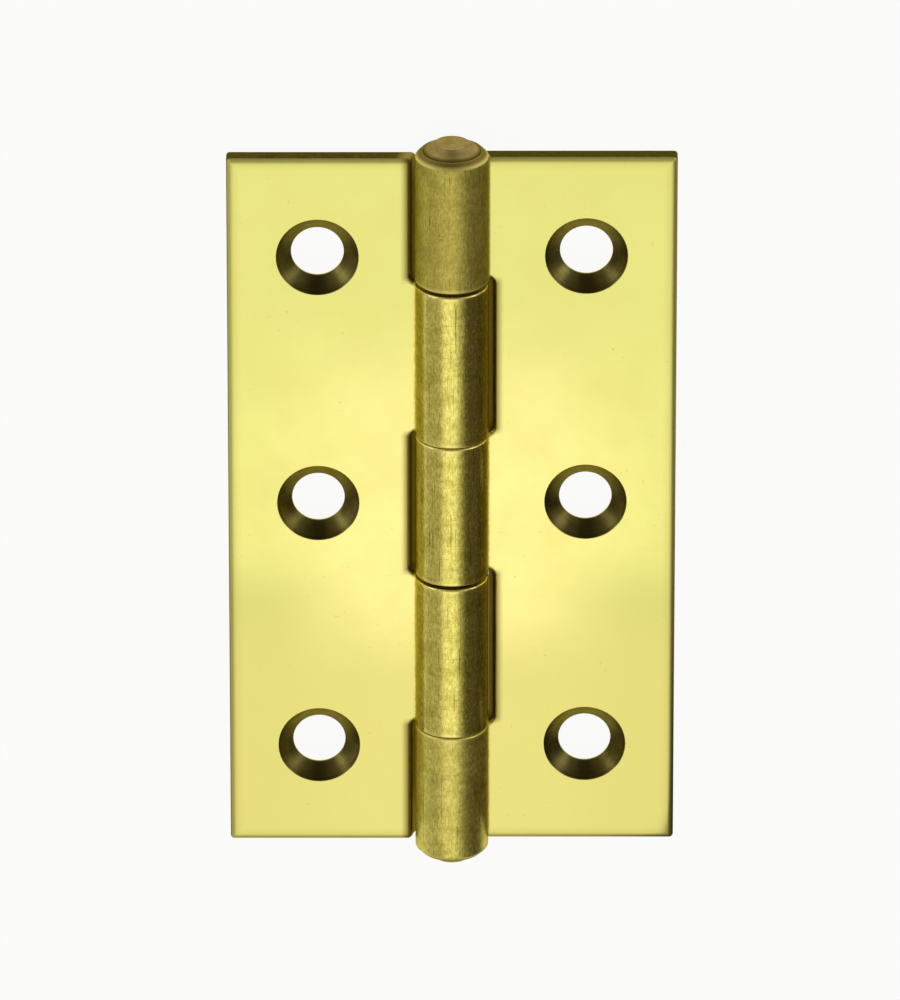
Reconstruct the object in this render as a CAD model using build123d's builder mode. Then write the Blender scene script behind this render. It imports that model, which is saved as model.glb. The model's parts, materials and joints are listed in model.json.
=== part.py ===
from build123d import *
from math import radians, tan
import os

# Narrow butt hinge of solid drawn brass, lying open and flat on its back.
# X runs across the leaves, Y along the pin, and Z up, on the countersunk side.
# The origin is the middle of the pin's axis. All sizes are in millimetres.

# Leaves
leaf_length = 76.0
leaf_width = 22.5  # from the pin's axis to the outer edge
leaf_thickness = 1.8
closed_gap = 0.6  # left between the leaves when the hinge is shut
front_round = 0.5  # the front edges are polished soft
back_round = 0.2
corner_round = 0.35

# Barrel
barrel_radius = 3.7
barrel_overrun = 0.9  # the barrel stands past the leaves at each end
root_round = 0.4  # drawn fillet where the plate meets the barrel
root_margin = 0.7  # the fillet stops this far short of a knuckle's rims
rim_round = 0.2  # the rims of the knuckles are worn soft
bevel_width = 0.6  # the barrel's two ends are bevelled towards the heads of the pin
bevel_depth = 0.6

# Knuckles: one leaf has the middle one and the two ends, its mate has the two between
middle_knuckle = 15.3
mate_knuckle = 16.7
open_joint = 0.35  # the mate has slid down its end play, so two of the joints stand open
tight_joint = 0.05

# Notches in the plates, milled hollow to go round the knuckles of the other leaf
mate_notch_clearance = 0.45  # round the mate's two knuckles
middle_notch_clearance = 0.4  # round the middle knuckle
end_notch_clearance = 0.35  # round the end knuckles
notch_corner = 1.5  # a notch's corners are rounded by this many times its clearance
notch_round = 0.6  # polishing has rolled off the face along a notch

# Pin
pin_radius = 1.8
running_clearance = 0.05  # radial, in the two knuckles that turn
head_radius = 2.85
head_tip_radius = 1.7
head_height = 0.85
head_tip_round = 0.25
seat_angle = 120.0  # the head sits in a countersink in the mouth of the barrel
seat_clearance = 0.1

# Screw holes, countersunk at 90 degrees
screw_count = 3
screw_end_margin = 10.8  # from the end of the leaf to the first hole
screw_side_margin = 9.05  # from the outer edge of the leaf to the line of holes
screw_radius = 2.65
screw_land = 0.3  # straight wall left under the countersink
countersink_angle = 90.0

# Places worked out from the sizes
leaf_front = -closed_gap / 2
leaf_back = leaf_front - leaf_thickness
leaf_middle = (leaf_front + leaf_back) / 2
leaf_end = leaf_length / 2
barrel_end = leaf_end + barrel_overrun
end_play = open_joint + tight_joint
mate_drop = (open_joint - tight_joint) / 2
slot_start = middle_knuckle / 2
slot_stop = slot_start + mate_knuckle + end_play
mate_start = slot_start + end_play / 2
mate_stop = slot_stop - end_play / 2
screw_line = leaf_width - screw_side_margin
screw_pitch = (leaf_length - 2 * screw_end_margin) / (screw_count - 1)
countersink_radius = screw_radius + leaf_thickness - screw_land


def root_section():
    """Section of a knuckle's root: a piece of plate and barrel with the fillets between them."""
    with BuildSketch(Plane.XZ) as section:
        Circle(barrel_radius)
        with Locations((leaf_width / 2, leaf_middle)):
            Rectangle(leaf_width, leaf_thickness)
        plate_corners = section.vertices().filter_by_position(Axis.Y, leaf_back, leaf_front)
        fillet(plate_corners.filter_by_position(Axis.X, 0, barrel_radius), root_round)
        reach = barrel_radius + root_round
        with Locations((reach / 2, leaf_middle)):
            Rectangle(reach, leaf_thickness + 2 * root_round, mode=Mode.INTERSECT)
    return section.sketch


def turned_section(*points, rounding):
    """Half section of a turned form, with all of its corners away from the axis rounded."""
    with BuildSketch() as section:
        with BuildLine():
            Polyline(*points, close=True)
        make_face()
        fillet(section.vertices().filter_by_position(Axis.X, pin_radius, leaf_width), rounding)
    return section.sketch


def add_plate():
    """The flat plate of a leaf, with its outer corners rounded."""
    with Locations((leaf_width / 2, 0, leaf_middle)):
        plate = Box(leaf_width, leaf_length, leaf_thickness)
    fillet(plate.edges().filter_by(Axis.Z).group_by(Axis.X)[-1], corner_round)


def soften_rims():
    """Round the front and the back edges along the outline of the plate."""
    for side, size in ((-1, front_round), (0, back_round)):
        rim = edges().filter_by(Plane.XY).group_by(Axis.Z)[side]
        fillet(rim.filter_by_position(Axis.X, leaf_width / 3, leaf_width), size)


def mill_notch(start, stop, clearance):
    """Mill the plate hollow between two places along the pin, round a knuckle of the other leaf."""
    reach = barrel_radius + clearance
    cutter = turned_section(
        (0, start), (reach, start), (reach, stop), (0, stop), rounding=clearance * notch_corner
    )
    revolve(cutter, axis=Axis.Y, mode=Mode.SUBTRACT)
    fillet(edges(Select.LAST).filter_by(Axis.Y).group_by(Axis.Z)[-1], notch_round)


def add_knuckle(start, stop):
    """A knuckle between two places along the pin."""
    bar = turned_section(
        (0, start), (barrel_radius, start), (barrel_radius, stop), (0, stop), rounding=rim_round
    )
    revolve(bar, axis=Axis.Y)


def add_end_knuckle(side):
    """The knuckle at one end of the barrel, whose outer rim is bevelled."""
    bar = turned_section(
        (0, side * slot_stop),
        (barrel_radius, side * slot_stop),
        (barrel_radius, side * (barrel_end - bevel_depth)),
        (barrel_radius - bevel_width, side * barrel_end),
        (0, side * barrel_end),
        rounding=rim_round,
    )
    revolve(bar, axis=Axis.Y)


def add_root(start, stop):
    """The fillets that join a knuckle to the plate, short of the knuckle's rims."""
    half_length = (stop - start) / 2 - root_margin
    with Locations((0, (start + stop) / 2, 0)):
        add(extrude(root_section(), amount=half_length, both=True, mode=Mode.PRIVATE))


def barrel_mouth(side):
    """The plane of the barrel's end face, looking out along the pin."""
    return Plane(origin=(0, side * barrel_end, 0), x_dir=(1, 0, 0), z_dir=(0, side, 0))


def drill_screw_holes():
    """Drill and countersink the line of screw holes along the plate."""
    with Locations((screw_line, 0, leaf_front)):
        with GridLocations(0, screw_pitch, 1, screw_count):
            CounterSinkHole(screw_radius, countersink_radius, counter_sink_angle=countersink_angle)


# The leaf with three knuckles holds the pin fast, with its heads in the barrel's mouths
with BuildPart() as three_knuckle_leaf:
    add_plate()
    for side in (1, -1):
        start, stop = sorted((side * slot_start, side * slot_stop))
        mill_notch(start, stop, mate_notch_clearance)
    soften_rims()
    add_knuckle(-slot_start, slot_start)
    add_root(-slot_start, slot_start)
    for side in (1, -1):
        start, stop = sorted((side * slot_stop, side * leaf_end))
        add_end_knuckle(side)
        add_root(start, stop)
    with Locations(barrel_mouth(1), barrel_mouth(-1)):
        CounterSinkHole(pin_radius, head_radius + seat_clearance, counter_sink_angle=seat_angle)
    drill_screw_holes()

# Its mate, with two knuckles, is made the same way and then turned over to the other side
with BuildPart() as mate:
    add_plate()
    mill_notch(-mate_start, mate_start, middle_notch_clearance)
    for side in (1, -1):
        start, stop = sorted((side * mate_stop, side * 2 * leaf_end))
        mill_notch(start, stop, end_notch_clearance)
    soften_rims()
    for side in (1, -1):
        start, stop = sorted((side * mate_start, side * mate_stop))
        add_knuckle(start, stop)
        add_root(start, stop)
    with Locations(barrel_mouth(1)):
        Hole(pin_radius + running_clearance)
    drill_screw_holes()

with BuildPart() as two_knuckle_leaf:
    with Locations((0, -mate_drop, 0)):
        add(mirror(mate.part, about=Plane.YZ, mode=Mode.PRIVATE))

# The pin fills the barrel and ends in a low conical head at each side
with BuildPart() as hinge_pin:
    head_depth = (head_radius - pin_radius) / tan(radians(seat_angle / 2))
    head_top = barrel_end + head_height
    with BuildSketch() as pin_half:
        with BuildLine():
            Polyline(
                (0, 0),
                (pin_radius, 0),
                (pin_radius, barrel_end - head_depth),
                (head_radius, barrel_end),
                (head_tip_radius, head_top),
                (0, head_top),
                close=True,
            )
        make_face()
    revolve(axis=Axis.Y)
    fillet(hinge_pin.edges().filter_by(GeomType.CIRCLE).sort_by(Axis.Y)[-1], head_tip_round)
    mirror(about=Plane.XZ)

os.makedirs("parts", exist_ok=True)
for name, piece in (
    ("three_knuckle_leaf", three_knuckle_leaf),
    ("two_knuckle_leaf", two_knuckle_leaf),
    ("hinge_pin", hinge_pin),
):
    piece.part.label = name
    export_step(piece.part, f"parts/{name}.step")
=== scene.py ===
import json
import math
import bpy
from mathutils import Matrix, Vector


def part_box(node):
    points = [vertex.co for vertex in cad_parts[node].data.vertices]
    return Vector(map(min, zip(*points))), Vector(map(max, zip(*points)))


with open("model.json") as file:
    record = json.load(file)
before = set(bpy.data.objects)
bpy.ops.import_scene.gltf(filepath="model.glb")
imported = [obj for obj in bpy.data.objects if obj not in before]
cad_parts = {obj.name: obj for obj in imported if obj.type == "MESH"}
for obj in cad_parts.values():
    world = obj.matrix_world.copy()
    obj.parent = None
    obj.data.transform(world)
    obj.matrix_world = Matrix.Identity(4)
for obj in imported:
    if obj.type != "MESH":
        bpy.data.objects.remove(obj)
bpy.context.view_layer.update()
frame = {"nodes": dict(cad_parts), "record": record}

from types import SimpleNamespace

import bpy
from mathutils import Matrix, Vector

MM = 0.001

# Sizes of the hinge in millimetres, read from the frame
mounts = {mount["name"]: mount for mount in frame["record"]["mounts"]}
end_screws = mounts["three_knuckle_leaf_end_screws"]
leaf_low, leaf_high = (Vector(corner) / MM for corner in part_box("two_knuckle_leaf"))
BARREL_RADIUS = leaf_high.z
HEAD_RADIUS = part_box("hinge_pin")[1][0] / MM
LEAF_WIDTH = -leaf_low.x
LEAF_END = (leaf_high.y - leaf_low.y) / 2
LEAF_BACK = mounts["three_knuckle_leaf_back"]["pos_m"][2] / MM
MATE_DROP = -(leaf_high.y + leaf_low.y) / 2
SCREW_LINE = end_screws["pos_m"][0] / MM
SCREW_PITCH = end_screws["dims"]["spacing_y_mm"] / 2

# Sizes in millimetres that the frame doesn't name
LEAF_FRONT = -0.3
SINK_RADIUS = 4.15
MIDDLE_JOINT = 7.75  # the four joints between the knuckles, on either side of the middle
END_JOINT = 24.65
BEVEL_START = 38.3  # where the barrel's bevelled mouth starts

# The mate's knuckles, and the notches round them in the leaf with three knuckles
MATE_KNUCKLE_MIDDLE = (MIDDLE_JOINT + END_JOINT) / 2
MATE_KNUCKLE_HALF = (END_JOINT - MIDDLE_JOINT) / 2

# Roughness of the brass, which depends on how it was worked
DRAWN = 0.18
DRAWN_UPPER_END = 0.42
DRAWN_LOWER_END = 0.32
POLISHED = 0.26
TURNED = 0.32
PLAIN = 0.4
SAWN = 0.5

BUMP_DEPTH = 0.02 * MM
EDGE_TINT = "#E2D8A8"  # brass stays yellow where it is seen almost along its surface

# Share of the paper's whiteness that is plain glow, where the hinge shades it most and elsewhere; the
# lower share paints part of the shadow under the barrel
GLOW_UNDER_BARREL = 0.35
GLOW_ELSEWHERE = 0.92

PER_MM = (1 / MM, 1 / MM, 1 / MM)  # scale of a mapping that turns metres to millimetres
SMOOTH = {"interpolation_type": "SMOOTHSTEP"}  # setting of a map range that eases in and out


def linear(colour):
    """An sRGB hex colour as linear red, green, blue and alpha."""
    parts = [int(colour[i:i + 2], 16) / 255 for i in (1, 3, 5)]
    return [c / 12.92 if c <= 0.04045 else ((c + 0.055) / 1.055) ** 2.4 for c in parts] + [1.0]


def new_material(name):
    """An empty material and its node tree."""
    material = bpy.data.materials.new(name)
    material.use_nodes = True
    material.node_tree.nodes.clear()
    return material, material.node_tree


def add(tree, kind, *values, **options):
    """Adds a node. The values go to its inputs in order, and options with a capital go to the inputs
    they name; each is a node, an output or a plain value. The other options are the node's settings."""
    node = tree.nodes.new("ShaderNode" + kind)
    for name in [n for n in options if n.islower()]:
        setattr(node, name, options.pop(name))
    inputs = list(zip(node.inputs, values))
    inputs += [(node.inputs[name.replace("_", " ")], value) for name, value in options.items()]
    for socket, value in inputs:
        if isinstance(value, bpy.types.Node):
            value = value.outputs[0]
        if isinstance(value, bpy.types.NodeSocket):
            tree.links.new(value, socket)
        else:
            socket.default_value = value
    return node


def places_on_leaf(t, drop, notched_between_joints):
    """Where a point of a leaf is, in millimetres and in shares from 0 to 1. A leaf that has slid down
    the pin takes its pattern along by its drop."""
    place = add(t, "Mapping", add(t, "TexCoord").outputs["Object"], Scale=PER_MM)
    x, y, z = add(t, "SeparateXYZ", place).outputs
    across = add(t, "Math", x, operation="ABSOLUTE")
    own_y = add(t, "Math", y, drop, operation="ADD")
    along = add(t, "Math", own_y, operation="ABSOLUTE")
    below = add(t, "Math", LEAF_FRONT, z, operation="SUBTRACT")
    thickness = LEAF_FRONT - LEAF_BACK

    round_pin = add(t, "CombineXYZ", x, 0.0, z)
    from_pin = add(t, "VectorMath", round_pin, operation="LENGTH").outputs["Value"]
    in_row = add(t, "Math", own_y, SCREW_PITCH / 2, -SCREW_PITCH / 2, operation="WRAP")
    off_line = add(t, "Math", across, SCREW_LINE, operation="SUBTRACT")
    round_hole = add(t, "CombineXYZ", off_line, in_row, 0.0)
    from_hole = add(t, "VectorMath", round_hole, operation="LENGTH").outputs["Value"]
    from_end = add(t, "Math", LEAF_END, along, operation="SUBTRACT")
    from_side = add(t, "Math", LEAF_WIDTH, across, operation="SUBTRACT")

    to_middle = add(t, "Math", along, MATE_KNUCKLE_MIDDLE, operation="SUBTRACT")
    off_middle = add(t, "Math", to_middle, operation="ABSOLUTE")
    inside, outside = (1.0, 0.0) if notched_between_joints else (0.0, 1.0)
    by_notch = add(t, "MapRange", off_middle, MATE_KNUCKLE_HALF - 0.4, MATE_KNUCKLE_HALF + 0.3,
                   inside, outside)

    # each share fades over a fraction of a millimetre, so that no two finishes meet at a hard line
    return SimpleNamespace(
        place=place,
        across=across,
        own_y=own_y,
        along=along,
        from_pin=from_pin,
        in_row=in_row,
        from_hole=from_hole,
        from_edge=add(t, "Math", from_end, from_side, operation="MINIMUM"),
        by_notch=by_notch,
        on_barrel=add(t, "MapRange", from_pin, BARREL_RADIUS + 0.05, BARREL_RADIUS + 0.2, 1.0, 0.0),
        in_sink=add(t, "MapRange", from_hole, SINK_RADIUS - 0.06, SINK_RADIUS + 0.02, 1.0, 0.0),
        on_wall=add(t, "MapRange", below, 0.12, 0.3, 0.0, 1.0),
        on_back=add(t, "MapRange", below, thickness - 0.15, thickness - 0.05, 0.0, 1.0),
    )


def face_with_painted_highlight(t, at, clouds):
    """Colour of a leaf's flat face, with a painted highlight: it is palest near the pin and just below
    its middle, and darker towards its ends and outer side. Clouds some millimetres wide lie on it."""
    # painted highlight: each tone of its fall-off sets in over some millimetres along or across the leaf
    upwards = add(t, "MapRange", at.own_y, 2.0, 25.0, 0.0, 1.0, **SMOOTH)
    downwards = add(t, "MapRange", at.own_y, -8.0, -21.0, 0.0, 0.85, **SMOOTH)
    outwards = add(t, "MapRange", at.across, 7.0, 21.0, 0.0, 1.0, **SMOOTH)
    low = add(t, "MapRange", at.own_y, -4.0, -12.0, 0.0, 0.9, **SMOOTH)
    low_outside = add(t, "Math", low, outwards, operation="MULTIPLY")
    cloudy = add(t, "MapRange", clouds, 0.38, 0.68, 0.0, 0.4)
    face = add(t, "MixRGB", outwards, linear("#FDF09A"), linear("#EAE68A"))
    face = add(t, "MixRGB", upwards, face, linear("#E0DE84"))
    face = add(t, "MixRGB", low_outside, face, linear("#D2CE78"))
    face = add(t, "MixRGB", downwards, face, linear("#DCD47D"))
    face = add(t, "MixRGB", cloudy, face, linear("#DCD57A"))
    # painted shade: it is a little darker in the last millimetre before its outline
    edge = add(t, "MapRange", at.from_edge, 0.4, 1.5, 0.4, 0.0, **SMOOTH)
    face = add(t, "MixRGB", edge, face, linear("#BDB35C"))
    # painted shade: the face rolls off along the notches and is painted brown there
    near_pin = add(t, "MapRange", at.from_pin, BARREL_RADIUS + 0.6, BARREL_RADIUS + 1.6, 0.88, 0.0,
                   **SMOOTH)
    painted_notch_shade = add(t, "Math", at.by_notch, near_pin, operation="MULTIPLY")
    face = add(t, "MixRGB", painted_notch_shade, face, linear("#6A5A20"))
    # fine brown specks where the lacquer is pricked
    pricks = add(t, "TexNoise", at.place, Scale=1 / 0.45, Detail=2.0)
    specks = add(t, "MapRange", pricks, 0.72, 0.78, 0.0, 0.4)
    return add(t, "MixRGB", specks, face, linear("#A89850"))


def drawn_skin(t, at, flecks, blotches):
    """Colour, roughness and height of the knuckles. Drawing leaves short flecks along the pin, a tenth
    of a millimetre wide and shown coarser, with brown stains and some scratches."""
    light_fleck = add(t, "MapRange", flecks, 0.38, 0.62, 0.0, 1.0)
    skin = add(t, "MixRGB", light_fleck, linear("#C8BA52"), linear("#F4EB88"))
    stained = add(t, "MapRange", blotches, 0.45, 0.7, 0.0, 0.5)
    skin = add(t, "MixRGB", stained, skin, linear("#A08E34"))
    # a few long scratches along the pin
    long = add(t, "Mapping", at.place, Scale=(1 / 0.16, 1 / 9, 1 / 0.16))
    lines = add(t, "TexNoise", long, Scale=1.0, Detail=2.0)
    scratches = add(t, "MapRange", lines, 0.65, 0.7, 0.0, 0.8)
    skin = add(t, "MixRGB", scratches, skin, linear("#6A5A18"))
    # faint short ones across it
    crosswise = add(t, "Mapping", at.place, Scale=(1 / 2.5, 1 / 0.12, 1 / 2.5))
    cross_lines = add(t, "TexNoise", crosswise, Scale=1.0, Detail=2.0)
    crossed = add(t, "MapRange", cross_lines, 0.64, 0.72, 0.0, 0.45)
    skin = add(t, "MixRGB", crossed, skin, linear("#7A6A20"))
    # the two end knuckles are more matt than the rest, and the upper one is browner too
    on_upper = add(t, "MapRange", at.own_y, END_JOINT - 0.05, END_JOINT + 0.05, 0.0, 1.0)
    on_lower = add(t, "MapRange", at.own_y, 0.05 - END_JOINT, -0.05 - END_JOINT, 0.0, 1.0)
    browner = add(t, "Math", on_upper, 0.3, operation="MULTIPLY")
    skin = add(t, "MixRGB", browner, skin, linear("#A8953A"))
    # the rims of the knuckles are worn, and painted bright beside each joint as a highlight
    off_joints = []
    for joint in (MIDDLE_JOINT, END_JOINT):
        to_joint = add(t, "Math", at.along, joint, operation="SUBTRACT")
        off_joints.append(add(t, "Math", to_joint, operation="ABSOLUTE"))
    off_joint = add(t, "Math", *off_joints, operation="MINIMUM")
    worn_rim_and_highlight = add(t, "MapRange", off_joint, 0.25, 0.7, 0.75, 0.0, **SMOOTH)
    skin = add(t, "MixRGB", worn_rim_and_highlight, skin, linear("#F4E992"))
    # painted shade in the corner round the head of the pin, inside a band painted bright as a highlight
    off_corner_shade = add(t, "MapRange", at.from_pin, BARREL_RADIUS - 0.35, BARREL_RADIUS - 0.1, 0.0, 1.0)
    bevel_shade_and_highlight = add(t, "MixRGB", off_corner_shade, linear("#6E5F30"), linear("#D8CC78"))
    on_bevel = add(t, "MapRange", at.along, BEVEL_START - 0.1, BEVEL_START + 0.05, 0.0, 0.85)
    skin = add(t, "MixRGB", on_bevel, skin, bevel_shade_and_highlight)

    roughness = add(t, "MapRange", on_upper, 0.0, 1.0, DRAWN, DRAWN_UPPER_END)
    roughness = add(t, "MapRange", on_lower, 0.0, 1.0, roughness, DRAWN_LOWER_END)
    fleck_roughness = add(t, "Math", flecks, 0.14, operation="MULTIPLY")
    roughness = add(t, "Math", roughness, fleck_roughness, operation="ADD")
    height = add(t, "Math", flecks, scratches, operation="SUBTRACT")
    return skin, roughness, height


def turned_sink(t, at, clouds, blotches):
    """Colour and height of the countersinks. The cutter leaves faint rings, shown coarser than they
    are, and their lower side is painted dark as shade."""
    spaced = add(t, "Math", at.from_hole, 1 / 0.2, operation="MULTIPLY")
    ringed = add(t, "CombineXYZ", spaced, clouds, 0.0)
    rings = add(t, "TexNoise", ringed, Scale=1.0, Detail=2.0)
    ring = add(t, "MapRange", rings, 0.35, 0.65, 0.0, 1.0)
    patches = add(t, "MapRange", blotches, 0.4, 0.65, 0.0, 0.6)
    # painted shade: the lower side of each countersink is painted dark
    painted_low_shade = add(t, "MapRange", at.in_row, -1.5, -3.6, 0.0, 0.75, **SMOOTH)
    sink = add(t, "MixRGB", ring, linear("#70673A"), linear("#847A44"))
    sink = add(t, "MixRGB", patches, sink, linear("#544A20"))
    return add(t, "MixRGB", painted_low_shade, sink, linear("#3A3010")), rings


def shaded_sawn_wall(t, at):
    """Colour of the sawn ends and sides and of the notches' walls. Saw marks and painted shade darken
    them, and the notches, which were milled, are lighter near the pin."""
    saw = add(t, "TexNoise", at.place, Scale=1 / 0.4, Detail=3.0, Roughness=0.6)
    marks = add(t, "MapRange", saw, 0.35, 0.65, 0.0, 1.0)
    # painted shade: the walls are given a dark colour, with the saw marks in it
    shaded_wall = add(t, "MixRGB", marks, linear("#443C1A"), linear("#584E26"))
    near_pin = add(t, "MapRange", at.from_pin, BARREL_RADIUS + 1.0, BARREL_RADIUS + 2.0, 1.0, 0.0)
    milled = add(t, "Math", at.by_notch, near_pin, operation="MULTIPLY")
    return add(t, "MixRGB", milled, shaded_wall, linear("#A08E48"))


def plain_back(t, flecks):
    """Colour of a leaf's back, which is hidden in use and left plain, with faint flecks."""
    light_fleck = add(t, "MapRange", flecks, 0.38, 0.62, 0.0, 1.0)
    return add(t, "MixRGB", light_fleck, linear("#CFC26A"), linear("#DDD27E"))


def finish_brass(t, colour, roughness, height, bump):
    """Ends a brass with its colour, its roughness and how strongly its height is felt."""
    normal = add(t, "Bump", Strength=bump, Distance=BUMP_DEPTH, Height=height)
    shader = add(t, "BsdfPrincipled", colour, Metallic=1.0, Roughness=roughness, Normal=normal,
                 Specular_Tint=linear(EDGE_TINT))
    add(t, "OutputMaterial", shader)


def drawn_brass(name, drop, notched_between_joints):
    """Solid drawn brass of a leaf. Its flat face is softly polished and carries a painted highlight, one
    pale sheet that fades towards its ends. Its knuckles keep the drawn skin, which is duller, flecked and
    scratched along the pin. Its sawn ends and milled walls are dull and painted dark as shade, its back
    is plain and dull, and its countersinks are turned, with painted shade on their lower side."""
    material, t = new_material(name)
    at = places_on_leaf(t, drop, notched_between_joints)
    clouds = add(t, "TexNoise", at.place, Scale=1 / 8, Detail=4.0, Roughness=0.55)
    blotches = add(t, "TexNoise", at.place, Scale=1 / 1.8, Detail=5.0, Roughness=0.65)
    short = add(t, "Mapping", at.place, Scale=(1 / 0.18, 1 / 0.5, 1 / 0.18))
    flecks = add(t, "TexNoise", short, Scale=1.0, Detail=4.0, Roughness=0.7)
    skin, skin_roughness, skin_height = drawn_skin(t, at, flecks, blotches)
    sink, rings = turned_sink(t, at, clouds, blotches)

    colour = add(t, "MixRGB", at.on_wall, face_with_painted_highlight(t, at, clouds), shaded_sawn_wall(t, at))
    colour = add(t, "MixRGB", at.in_sink, colour, sink)
    colour = add(t, "MixRGB", at.on_back, colour, plain_back(t, flecks))
    colour = add(t, "MixRGB", at.on_barrel, colour, skin)
    # the polish fades out in the last millimetre before the outline
    roughness = add(t, "MapRange", at.from_edge, 0.3, 0.7, SAWN, POLISHED)
    roughness = add(t, "MapRange", at.on_wall, 0.0, 1.0, roughness, SAWN)
    roughness = add(t, "MapRange", at.in_sink, 0.0, 1.0, roughness, TURNED)
    roughness = add(t, "MapRange", at.on_back, 0.0, 1.0, roughness, PLAIN)
    roughness = add(t, "MapRange", at.on_barrel, 0.0, 1.0, roughness, skin_roughness)
    # flecks, scratches and rings are felt as well as seen
    face_height = add(t, "Math", clouds, 0.2, operation="MULTIPLY")
    height = add(t, "MapRange", at.in_sink, 0.0, 1.0, face_height, rings)
    height = add(t, "MapRange", at.on_barrel, 0.0, 1.0, height, skin_height)
    finish_brass(t, colour, roughness, height, bump=0.4)
    return material


def turned_brass(name):
    """Brass of the pin, turned at its heads, which gives them faint rings, and browned by handling."""
    material, t = new_material(name)
    place = add(t, "Mapping", add(t, "TexCoord").outputs["Object"], Scale=PER_MM)
    x, y, z = add(t, "SeparateXYZ", place).outputs
    round_pin = add(t, "CombineXYZ", x, 0.0, z)
    from_pin = add(t, "VectorMath", round_pin, operation="LENGTH").outputs["Value"]
    turns = add(t, "CombineXYZ", from_pin, y, 0.0)
    rings = add(t, "TexNoise", turns, Scale=1 / 0.18, Detail=3.0, Roughness=0.6)
    blotches = add(t, "TexNoise", place, Scale=1 / 1.2, Detail=4.0, Roughness=0.6)
    ring = add(t, "MapRange", rings, 0.3, 0.7, 0.0, 1.0)
    colour = add(t, "MixRGB", ring, linear("#988550"), linear("#B09C64"))
    stained = add(t, "MapRange", blotches, 0.4, 0.65, 0.0, 0.6)
    colour = add(t, "MixRGB", stained, colour, linear("#806A38"))
    # painted shade in the corner between the head and the barrel
    head_corner_shade = add(t, "MapRange", from_pin, HEAD_RADIUS - 0.4, HEAD_RADIUS, 0.0, 0.8, **SMOOTH)
    colour = add(t, "MixRGB", head_corner_shade, colour, linear("#4A3A10"))
    roughness = add(t, "MapRange", rings, 0.3, 0.7, 0.34, 0.46)
    finish_brass(t, colour, roughness, rings, bump=0.3)
    return material


def white_paper(name):
    """Matt white paper. It shows as white to the camera and to the metal, and keeps a soft shadow,
    which is deepest right under the barrel, where the paper glows less and so has part of its shadow
    painted."""
    material, t = new_material(name)
    rays = add(t, "LightPath").outputs
    seen = add(t, "Math", rays["Is Camera Ray"], rays["Is Glossy Ray"], operation="MAXIMUM")
    seen = add(t, "Math", seen, rays["Is Transmission Ray"], operation="MAXIMUM")
    place = add(t, "Mapping", add(t, "TexCoord").outputs["Object"], Scale=PER_MM)
    x, y = add(t, "SeparateXYZ", place).outputs[:2]
    across = add(t, "Math", x, operation="ABSOLUTE")
    along = add(t, "Math", y, operation="ABSOLUTE")
    # painted shadow: the paper glows less in a strip under the barrel, short of its ends
    beside = add(t, "MapRange", across, BARREL_RADIUS + 0.7, BARREL_RADIUS + 1.3, 0.0, 1.0)
    beyond = add(t, "MapRange", along, LEAF_END - 3.5, LEAF_END - 2.0, 0.0, 1.0)
    clear = add(t, "Math", beside, beyond, operation="MAXIMUM")
    lit = add(t, "MapRange", clear, 0.0, 1.0, GLOW_UNDER_BARREL, GLOW_ELSEWHERE)
    glow_share = add(t, "Math", seen, lit, operation="MULTIPLY")
    tooth = add(t, "TexNoise", place, Scale=1 / 1.5, Detail=2.0)
    paper = add(t, "BsdfDiffuse", add(t, "MixRGB", tooth, linear("#F4F4F3"), linear("#FBFBFA")))
    glow = add(t, "Emission", linear("#FFFFFF"), 1.0)
    add(t, "OutputMaterial", add(t, "MixShader", glow_share, paper, glow))
    return material


def plain_card(name, colour):
    """Matt card, which the metal sees at an even tone."""
    material, t = new_material(name)
    add(t, "OutputMaterial", add(t, "Emission", linear(colour), 1.0))
    return material


def set_finish(node, material):
    """Gives every material slot of a CAD node the finish."""
    for slot in frame["nodes"][node].material_slots:
        slot.material = material


set_finish("three_knuckle_leaf", drawn_brass("drawn_brass_three", 0.0, notched_between_joints=True))
set_finish("two_knuckle_leaf", drawn_brass("drawn_brass_two", MATE_DROP, notched_between_joints=False))
set_finish("hinge_pin", turned_brass("turned_brass_pin"))

# Floor, under the barrel
bpy.ops.mesh.primitive_plane_add(size=6.0, location=(0, 0, -BARREL_RADIUS * MM))
floor = bpy.context.object
floor.name = "floor"
floor.data.materials.append(white_paper("white_paper"))

# Lights, cards and the camera, in metres
TILT = math.radians(25.6)  # how far the camera leans from straight above towards the top end
CAMERA_DISTANCE = 1.45
CAMERA_LENS = 518.6
AIM_RIGHT = -0.19 * MM  # the camera looks at a point this far from the middle of the pin
AIM_UP = 0.3 * MM


def facing(centre):
    """The place and turn of something at a centre that looks at the hinge."""
    centre = Vector(centre)
    return Matrix.Translation(centre) @ centre.to_track_quat("Z", "Y").to_matrix().to_4x4()


def mirrored(turn, distance):
    """The place that the camera sees in the flat faces, turned about the pin by some degrees."""
    turn = math.radians(turn)
    level = math.cos(TILT)
    return Vector((level * math.sin(turn), -math.sin(TILT), level * math.cos(turn))) * distance


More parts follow.
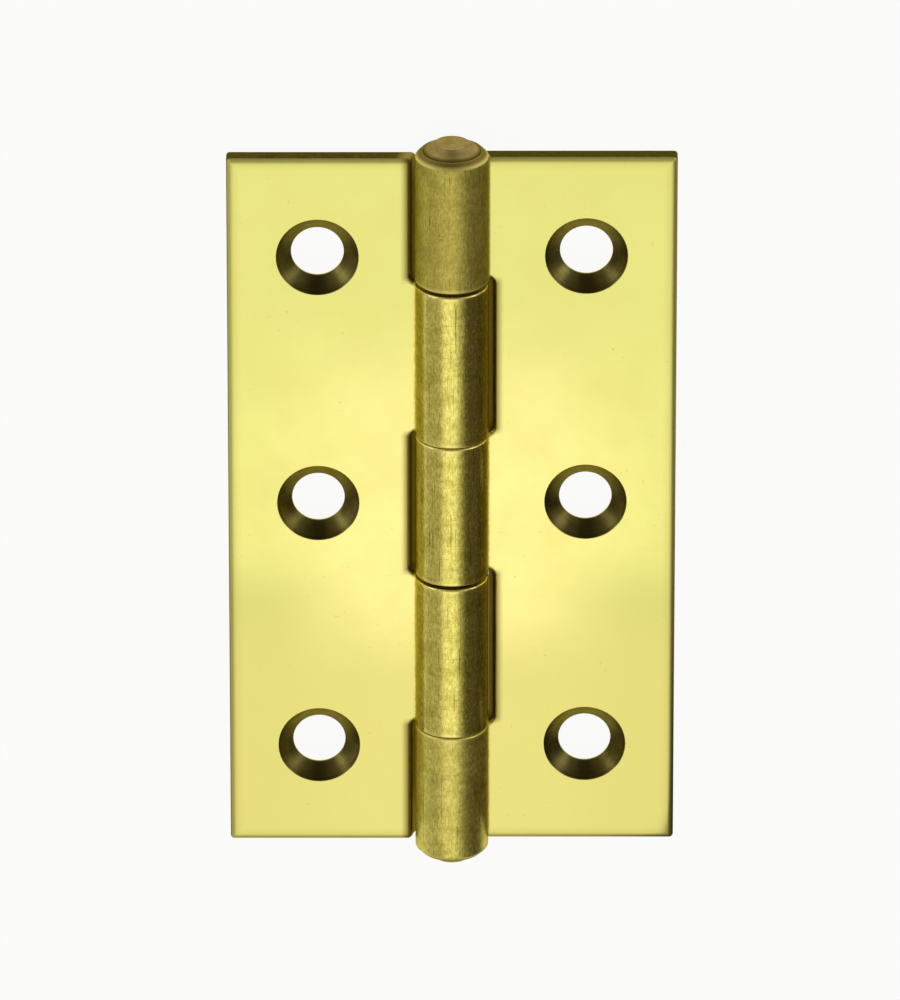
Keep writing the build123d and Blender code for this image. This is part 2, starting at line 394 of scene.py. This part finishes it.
def soft_box(name, centre, width, height, radiance):
    """A rectangular soft light that looks at the hinge."""
    lamp = bpy.data.lights.new(name, "AREA")
    lamp.shape = "RECTANGLE"
    lamp.size, lamp.size_y = width, height
    lamp.energy = radiance * math.pi * width * height
    box = bpy.data.objects.new(name, lamp)
    bpy.context.scene.collection.objects.link(box)
    box.matrix_world = facing(centre)
    box.visible_camera = False


def dark_card(name, centre, width, height, colour):
    """A card beside the hinge that only the metal sees, which gives the polish something dark to show."""
    bpy.ops.mesh.primitive_plane_add(size=1.0)
    card = bpy.context.object
    card.name = name
    card.data.materials.append(plain_card(name, colour))
    card.matrix_world = facing(centre) @ Matrix.Diagonal((width, height, 1, 1))
    card.visible_camera = card.visible_diffuse = card.visible_shadow = card.visible_transmission = False


# the overhead light fills the faces and the top of the barrel, and the two at the sides light the rest
soft_box("overhead_light", mirrored(-5.0, 0.7), 0.566, 0.36, radiance=0.74)
soft_box("left_light", (-0.6, 0.30, 0.22), 0.22, 0.22, radiance=2.2)
soft_box("right_light", (0.6, 0.30, 0.22), 0.22, 0.22, radiance=2.2)
# two cards darken the right side of the barrel, and the third one the low sides of the countersinks
dark_card("card_right", (0.47, -0.30, 0.17), 0.64, 0.7, "#524A3C")
dark_card("card_low", (0.032, -0.012, 0.0), 0.12, 0.0076, "#3A3228")
dark_card("card_top", (0.0, 0.50, 0.22), 0.40, 0.40, "#6C685E")

world = bpy.data.worlds.new("studio")
bpy.context.scene.world = world
world.use_nodes = True
background = world.node_tree.nodes["Background"]
background.inputs["Color"].default_value = linear("#BCB8AA")
background.inputs["Strength"].default_value = 1.0

bpy.context.scene.view_settings.view_transform = "Standard"

# Camera, far off with a long lens
camera_data = bpy.data.cameras.new("camera")
camera_data.lens = CAMERA_LENS
camera_data.clip_end = 20.0
camera = bpy.data.objects.new("camera", camera_data)
bpy.context.scene.collection.objects.link(camera)
right = Vector((1, 0, 0))
up = Vector((0, math.cos(TILT), -math.sin(TILT)))
backwards = Vector((0, math.sin(TILT), math.cos(TILT)))
aim = right * AIM_RIGHT + up * AIM_UP
turn = Matrix((right, up, backwards)).transposed().to_4x4()
camera.matrix_world = Matrix.Translation(aim + backwards * CAMERA_DISTANCE) @ turn
bpy.context.scene.camera = camera
